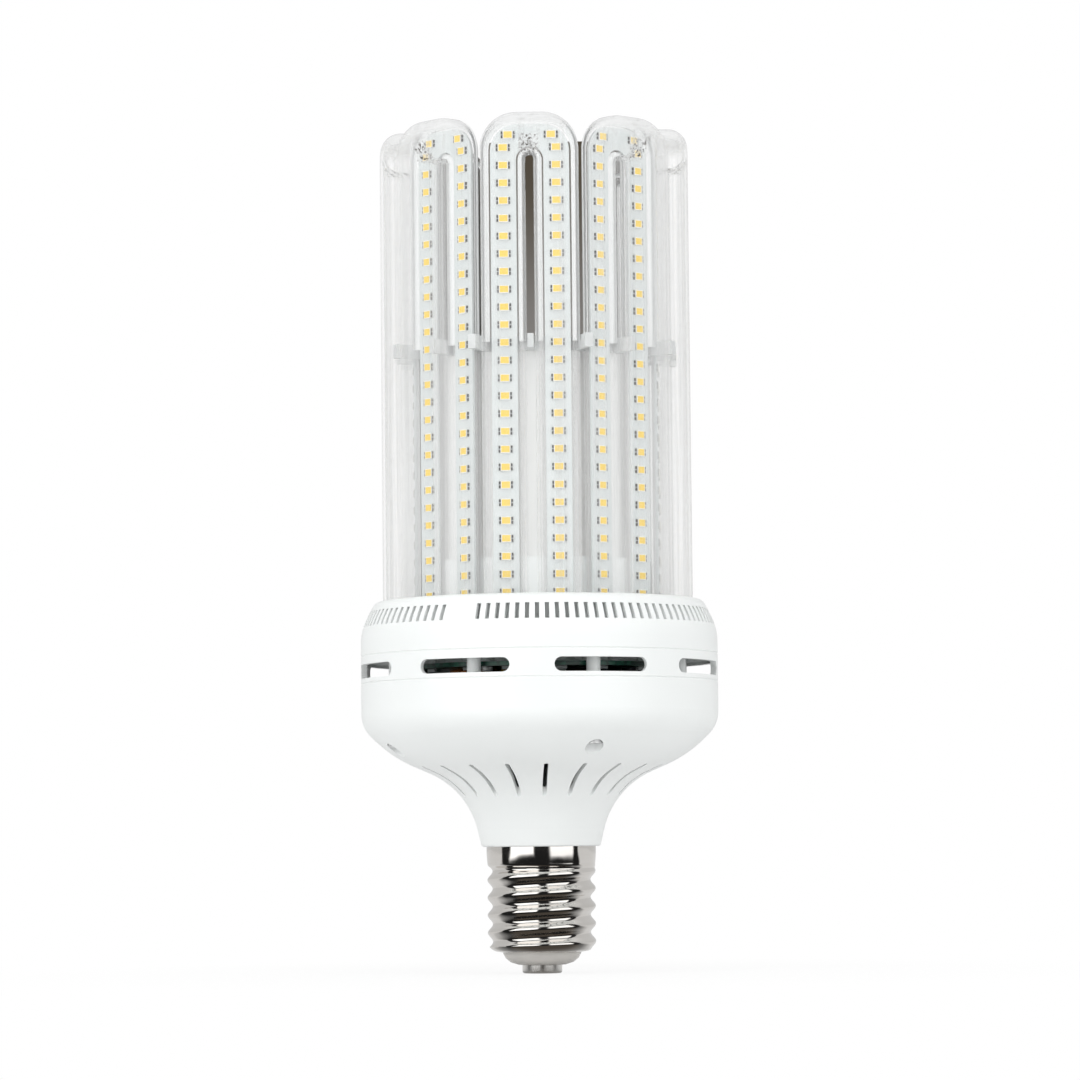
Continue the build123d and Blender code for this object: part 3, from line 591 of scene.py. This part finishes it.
# LED boards. Each U-shaped board is aluminium core stock under a glossy white solder mask
# with a cool cast.
solder_mask = Finish("white_solder_mask", (0.66, 0.69, 0.69), 0.3)
mask_clouds = solder_mask.noise(120.0, 3.0)
mask_grain = solder_mask.noise(2500.0, 1.0)
solder_mask.vary(mask_clouds, (0.63, 0.675, 0.68), (0.69, 0.71, 0.70), 0.24, 0.14)
solder_mask.bump(mask_grain, 0.01 * MM, 0.4)
dress(solder_mask, *[f"led_board_{n}" for n in range(1, tube_count + 1)])

# LEDs. Each chip is a white case with a yellow phosphor window, soldered at both ends. The solder shows
# as two small beads at each side, painted near black for the dark reflections of the shiny solder.
led_low, led_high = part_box("leds_1")
board_face = led_high.y
chip_width = 3.5 * MM
chip_height = 2.8 * MM
chip_depth = led_high.y - led_low.y
case_chamfer = 0.25 * MM
window_margin = 0.1 * MM
bead_size = (0.6 * MM, 0.35 * MM, 1.05 * MM)
bead_chamfer = 0.12 * MM
bead_gap = 0.12 * MM
bead_level = 0.7 * MM
leg_offset = 9.5 * MM
led_pitch = 6.35 * MM
leds_in_line = 27
first_led = 294.4 * MM
crown_led_offset = 7.7 * MM
crown_led_height = 299.0 * MM

case_plastic = Finish("led_case_white", (0.86, 0.84, 0.80), 0.35)
case_plastic.bump(case_plastic.noise(3000.0, 1.0), 0.01 * MM, 0.3)
phosphor = Finish("led_phosphor", (0.95, 0.60, 0.10), 0.35)
grain = phosphor.noise(2600.0, 2.0)
phosphor.set("Base Color", phosphor.blend(grain, (0.93, 0.70, 0.10), (0.88, 0.56, 0.05)))
phosphor.bump(grain, 0.02 * MM, 0.5)
# Painted reflection: the solder is near black for the dark that its shiny beads mirror.
solder = Finish("solder_painted_dark", (0.02, 0.018, 0.016), 0.4)
solder.set("Roughness", 0.25 + 0.3 * solder.noise(2500.0, 2.0))
chip_finishes = (case_plastic, phosphor, solder)


def add_block(size, centre, chamfer, finish):
    """A small block with an inset front, at a place on the first board."""
    block = add_cuboid(centre, size)
    edit(block)
    front = centre[1] - size[1] / 2
    pick(block, "FACE", lambda face: all(abs(v.co.y - front) < near / 10 for v in face.verts))
    bpy.ops.mesh.inset(thickness=chamfer, depth=0.0)
    bpy.ops.object.mode_set(mode="OBJECT")
    for each in chip_finishes:
        block.data.materials.append(each.material)
    for face in block.data.polygons:
        face.material_index = chip_finishes.index(finish)
    return block


def joined(pieces):
    """Joins pieces to the first of them."""
    bpy.ops.object.select_all(action="DESELECT")
    for piece in pieces:
        piece.select_set(True)
    bpy.context.view_layer.objects.active = pieces[0]
    bpy.ops.object.join()
    return bpy.context.object


def add_chip(x, z):
    """One LED with its solder beads, centred at a place on the first board."""
    case_size = (chip_width, chip_depth, chip_height)
    case = add_block(case_size, (x, board_face - chip_depth / 2, z), case_chamfer, case_plastic)
    window_half = chip_width / 2 - window_margin
    for face in case.data.polygons:
        corners = [case.data.vertices[number].co for number in face.vertices]
        if face.normal.y < -0.9 and all(abs(corner.x - x) < window_half for corner in corners):
            face.material_index = chip_finishes.index(phosphor)
    parts = [case]
    bead_x = chip_width / 2 + bead_size[0] / 2 + bead_gap
    bead_y = board_face - bead_size[1] / 2
    for side in (-1, 1):
        for level in (-1, 1):
            centre = (x + side * bead_x, bead_y, z + level * bead_level)
            parts.append(add_block(bead_size, centre, bead_chamfer, solder))
    return joined(parts)


line = add_chip(leg_offset, first_led)
add_modifier(
    line,
    "ARRAY",
    count=leds_in_line,
    use_relative_offset=False,
    use_constant_offset=True,
    constant_offset_displace=(0, 0, -led_pitch),
)
other_line = line.copy()
other_line.data = line.data.copy()
other_line.data.transform(Matrix.Translation((-2 * leg_offset, 0, 0)))
bpy.context.collection.objects.link(other_line)
crown_chips = [add_chip(side * crown_led_offset, crown_led_height) for side in (-1, 1)]
led_set = joined([line, other_line, *crown_chips])
settle_ring(led_set, "led_set", None, "leds", 30.0)

# Spacer and sleeve. A translucent grey moulding holds the legs apart at mid height, on top of a pale
# translucent sleeve, which leads the warm air up. The sleeve has a faint painted glow, though it is no
# lamp.
spacer_plastic = Finish("translucent_spacer", (0.62, 0.63, 0.62), 0.28)
spacer_clouds = spacer_plastic.noise(300.0, 3.0)
spacer_plastic.vary(spacer_clouds, (0.70, 0.71, 0.71), (0.56, 0.57, 0.57), 0.2, 0.2)
dress(spacer_plastic, "tube_spacer")
sleeve_plastic = Finish("pale_sleeve", (0.74, 0.74, 0.73), 0.5)
sleeve_clouds = sleeve_plastic.noise(60.0, 4.0, sleeve_plastic.stretched((1.0, 1.0, 0.3)))
sleeve_plastic.vary(sleeve_clouds, (0.84, 0.84, 0.83), (0.74, 0.74, 0.73), 0.4, 0.2)
# Painted glow: a little even light from the sleeve.
sleeve_plastic.set("Emission Color", (1.0, 1.0, 1.0, 1.0))
sleeve_plastic.set("Emission Strength", 0.05)
dress(sleeve_plastic, "air_sleeve")

# Driver. A round green circuit board carries the parts of the driver, which hang below it
# in the bell and show only as shapes behind the windows.
board_lacquer = Finish("green_solder_mask", (0.01, 0.07, 0.045), 0.3)
track_cells = board_lacquer.node(
    "ShaderNodeTexVoronoi",
    {"feature": "DISTANCE_TO_EDGE", "distance": "EUCLIDEAN"},
    {"Vector": board_lacquer.place(), "Scale": 260.0},
)
tracks = track_cells > 0.12
track_colour = board_lacquer.blend(tracks, (0.006, 0.045, 0.03), (0.012, 0.085, 0.055))
board_lacquer.set("Base Color", track_colour)
board_lacquer.set("Roughness", 0.22 + 0.2 * board_lacquer.noise(300.0, 2.0))
board_lacquer.bump(tracks, 0.03 * MM, 0.6)
dress(board_lacquer, "driver_board")


def plain_finish(name, light, dark, roughness, scale, metallic=0.0):
    """A finish with cloudy variation between two colours, for the parts of the driver."""
    finish = Finish(name, light, roughness, metallic)
    clouds = finish.noise(scale, 3.0)
    finish.vary(clouds, light, dark, roughness - 0.08, 0.16)
    finish.bump(clouds, 0.03 * MM, 0.4)
    return finish


ferrite = plain_finish("taped_ferrite", (0.05, 0.05, 0.055), (0.02, 0.02, 0.022), 0.5, 400.0)
can = plain_finish("capacitor_sleeve", (0.02, 0.022, 0.035), (0.012, 0.012, 0.02), 0.3, 250.0)
box = plain_finish("film_capacitor_box", (0.62, 0.40, 0.05), (0.5, 0.32, 0.04), 0.35, 300.0)
copper = plain_finish("enamelled_copper", (0.45, 0.18, 0.06), (0.30, 0.10, 0.03), 0.25, 900.0, 0.9)
black = plain_finish("moulding_compound", (0.02, 0.02, 0.02), (0.012, 0.012, 0.012), 0.5, 600.0)
bare = plain_finish("extruded_aluminium", (0.62, 0.62, 0.62), (0.5, 0.5, 0.5), 0.35, 500.0, 1.0)
glass = plain_finish("fuse_glass", (0.55, 0.58, 0.56), (0.4, 0.42, 0.4), 0.15, 300.0)
lead = plain_finish("lead_insulation", (0.75, 0.74, 0.70), (0.66, 0.65, 0.62), 0.45, 300.0)
dress(ferrite, "transformer")
dress(can, "main_capacitors", "output_capacitors")
dress(box, "film_capacitor")
dress(copper, "line_choke")
dress(black, "bridge_rectifier", "power_transistor")
dress(bare, "heat_sink")
dress(glass, "fuse")
dress(lead, "shell_lead", "contact_lead")


# Floor and backdrop. One white sheet keeps the lamp's soft shadow near the cap and is plain white
# further out, as the world behind it is. Plated pieces mirror two bright panels in it, and close beside
# the cap they mirror a faint warm patch, a painted reflection.
def bearing(x, y):
    """The angle round the lamp from straight in front, which grows to the right."""
    return x.maths("ARCTAN2", x, 0.0 - y)


def left_panel(turn):
    """Where a bright panel stands to the left of the camera."""
    return turn.ramp(-1.22, -1.12) * turn.ramp(-0.10, -0.24)


def right_panel(turn):
    """Where a bright panel stands to the right of the camera."""
    return turn.ramp(0.20, 0.42) * turn.ramp(1.30, 1.20)


bpy.ops.mesh.primitive_plane_add(size=12.0, location=(0, 0, 0))
floor = bpy.context.object
floor.name = "floor_sheet"
paper = Finish("white_floor", (0.90, 0.90, 0.90), 0.9)
floor_x, floor_y, floor_z = paper.split(paper.place())
floor_turn = bearing(floor_x, floor_y)
reach = (floor_x * floor_x + floor_y * floor_y) ** 0.5
glow_share = paper.light_path("Is Camera Ray") * (0.88 + 0.12 * reach.ramp(0.04, 0.25))
seen_sheet = paper.mixed(glow_share, paper.surface(), paper.glow((1, 1, 1), 1.0))
panel_share = left_panel(floor_turn) + 0.875 * right_panel(floor_turn)
far_share = panel_share * reach.ramp(0.22, 0.55)
beside_cap = floor_turn.ramp(-1.05, -0.75) * floor_turn.ramp(1.4, 1.1)
near_share = reach.ramp(0.050, 0.030) * beside_cap
# Painted reflection: a faint warm patch beside the cap, seen only by mirrored rays.
near_glow = paper.mixed(
    near_share, paper.glow((1, 1, 1), 0.015), paper.glow((1.0, 0.86, 0.72), 0.08)
)
front_glow = paper.mixed(far_share, near_glow, paper.glow((1, 1, 1), 1.6))
back_glow = paper.glow((1, 1, 1), 0.74)
mirrored_sheet = paper.mixed(floor_y.ramp(-0.02, 0.02), front_glow, back_glow)
paper.show(paper.mixed(paper.light_path("Is Glossy Ray"), seen_sheet, mirrored_sheet))
floor.data.materials.append(paper.material)

# Dark card. A card of painted shade stands in the ring of tubes, so that the gaps above the spacer look
# dark, as the shaded inside of the lamp does, darker towards the top. It shows only to the camera, and
# only from straight in front.
card_centre = (3.5 * MM, 30 * MM, 267.5 * MM)
card_size = (46 * MM, 81 * MM)
bpy.ops.mesh.primitive_plane_add(size=1.0, location=card_centre)
card = bpy.context.object
card.name = "dark_card"
card.scale = (*card_size, 1.0)
card.rotation_euler = (radians(90), 0, 0)
bpy.ops.object.transform_apply(location=True, rotation=True, scale=True)
card_painted_shade = Finish("painted_shade_behind_gaps", (0.1, 0.1, 0.1), 1.0)
card_z = card_painted_shade.split(card_painted_shade.place())[2]
# Painted shade: dark brown-grey at the top, paler towards the spacer.
high_glow = card_painted_shade.glow((0.085, 0.070, 0.052), 1.0)
low_glow = card_painted_shade.glow((0.225, 0.215, 0.205), 1.0)
card_shade_glow = card_painted_shade.mixed(card_z.ramp(300 * MM, 226 * MM), high_glow, low_glow)
from_behind = card_painted_shade.node("ShaderNodeNewGeometry", output="Backfacing")
slant = card_painted_shade.node("ShaderNodeLayerWeight", sockets={"Blend": 0.5}, output="Facing")
askew = slant > 0.1
unseen = askew.maths("MAXIMUM", askew, from_behind)
nothing = card_painted_shade.node("ShaderNodeBsdfTransparent")
card_painted_shade.show(card_painted_shade.mixed(unseen, card_shade_glow, nothing))
card.data.materials.append(card_painted_shade.material)
card.visible_diffuse = False
card.visible_glossy = False
card.visible_shadow = False

# World. The camera sees plain white, and the lamp is lit by an even pale room. Plated pieces
# mirror a dark front with the two bright panels, and a pale wall behind.
world = bpy.data.worlds.new("white_studio")
bpy.context.scene.world = world
world.use_nodes = True
sky = NodeTree(world.node_tree)
sky_x, sky_y, sky_z = sky.split(sky.node("ShaderNodeTexCoord", output="Generated"))
sky_turn = bearing(sky_x, sky_y)
panels = (1.7 * left_panel(sky_turn) + 1.45 * right_panel(sky_turn)) * sky_z.ramp(0.85, 0.6)
back_wall = 0.62 * sky_y.ramp(-0.02, 0.06)
ceiling = 0.2 * sky_z.ramp(0.6, 0.9)
to_camera = sky.light_path("Is Camera Ray")
to_mirror = sky.light_path("Is Glossy Ray")
room_strength = 0.75 * (1.0 - to_camera) * (1.0 - to_mirror)
mirror_strength = to_mirror * (0.02 + panels + back_wall + ceiling)
background = world.node_tree.nodes["Background"]
sky.feed(background.inputs["Color"], (1, 1, 1, 1))
sky.feed(
    background.inputs["Strength"],
    room_strength + to_camera * (1.0 - to_mirror) + mirror_strength,
)


# Lights. Two large soft boxes stand left and right in front of the lamp, and a third hangs
# over it. The plated pieces don't mirror them.
lit_point = Vector((0.0, 0.0, 0.17))
front_box_distance = 1.3
front_box_height = 0.35


def soft_box(name, place, size, power):
    """A large oval lamp that faces the middle of the object."""
    data = bpy.data.lights.new(name, "AREA")
    data.shape = "ELLIPSE"
    data.size, data.size_y = size
    data.energy = power
    data.color = (0.975, 1.0, 0.995)
    lamp = bpy.data.objects.new(name, data)
    lamp.location = place
    lamp.rotation_euler = (lit_point - Vector(place)).to_track_quat("-Z", "Y").to_euler()
    lamp.visible_glossy = False
    bpy.context.collection.objects.link(lamp)


def beside(angle):
    """A place in front of the lamp, at an angle to the left of straight in front."""
    turn = radians(-90.0 - angle)
    return (front_box_distance * cos(turn), front_box_distance * sin(turn), front_box_height)


soft_box("left_soft_box", beside(46.0), (1.40, 1.5), 7.0)
soft_box("right_soft_box", beside(-52.0), (1.45, 1.5), 5.0)
soft_box("top_soft_box", (0.0, -0.75, 1.5), (1.1, 0.7), 4.6)

# Camera. It stands level with the collar of the screw cap, 1.64 m from the lamp's axis and
# 2.3 degrees to the right of the first tube, and looks up by four degrees.
camera_distance = 1.636
camera_height = 0.043
camera_azimuth = radians(2.3)
look_up = radians(3.988)
look_right = radians(0.0235)
roll = radians(-0.565)
pixels_per_radian = 4503.0
picture_width = 1080.0
camera_data = bpy.data.cameras.new("portrait_camera")
camera_data.sensor_width = 36.0
camera_data.lens = camera_data.sensor_width * pixels_per_radian / picture_width
camera_data.clip_end = 50.0
camera = bpy.data.objects.new("portrait_camera", camera_data)
bpy.context.collection.objects.link(camera)
camera.location = (
    camera_distance * sin(camera_azimuth),
    -camera_distance * cos(camera_azimuth),
    camera_height,
)
turn = Matrix.Rotation(camera_azimuth - look_right, 4, "Z")
tilt = Matrix.Rotation(radians(90) + look_up, 4, "X")
camera.rotation_euler = (turn @ tilt @ Matrix.Rotation(roll, 4, "Z")).to_euler()
bpy.context.scene.camera = camera
bpy.context.scene.view_settings.view_transform = "Standard"
# The clear walls lie up to 30 deep from the front, and a ray passes through them all.
bpy.context.scene.cycles.transparent_max_bounces = 48
